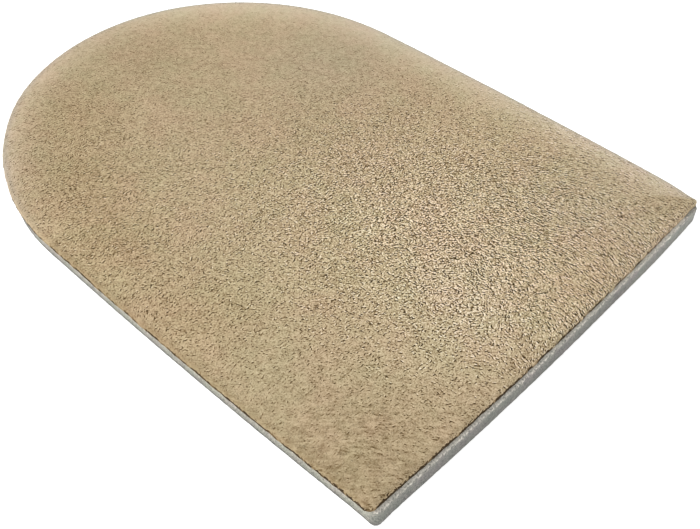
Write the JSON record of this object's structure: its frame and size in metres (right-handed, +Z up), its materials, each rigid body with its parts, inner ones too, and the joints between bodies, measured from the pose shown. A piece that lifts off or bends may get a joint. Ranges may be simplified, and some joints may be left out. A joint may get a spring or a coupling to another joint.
{
  "type": "heel pad",
  "caption": "Flat D-shaped heel pad for a shoe: tan microsuede cover bonded on a thin grey foam base, straight at the front and round at the heel.",
  "frame": {"origin": "on the surface the pad lies on, under the middle of the whole pad's plan", "axes": "+Y from the straight front edge to the round heel, +X to the pad's right seen from above, +Z up out of the cloth face"},
  "size_m": [0.0632, 0.086, 0.0039],
  "materials": {
    "foam": "matt closed-cell foam, cut edge",
    "microsuede": "brushed napped cloth, tan with darker flecks"
  },
  "bodies": {
    "root": {"foam_base": "foam", "suede_cover": "microsuede"}
  },
  "joints": []
}
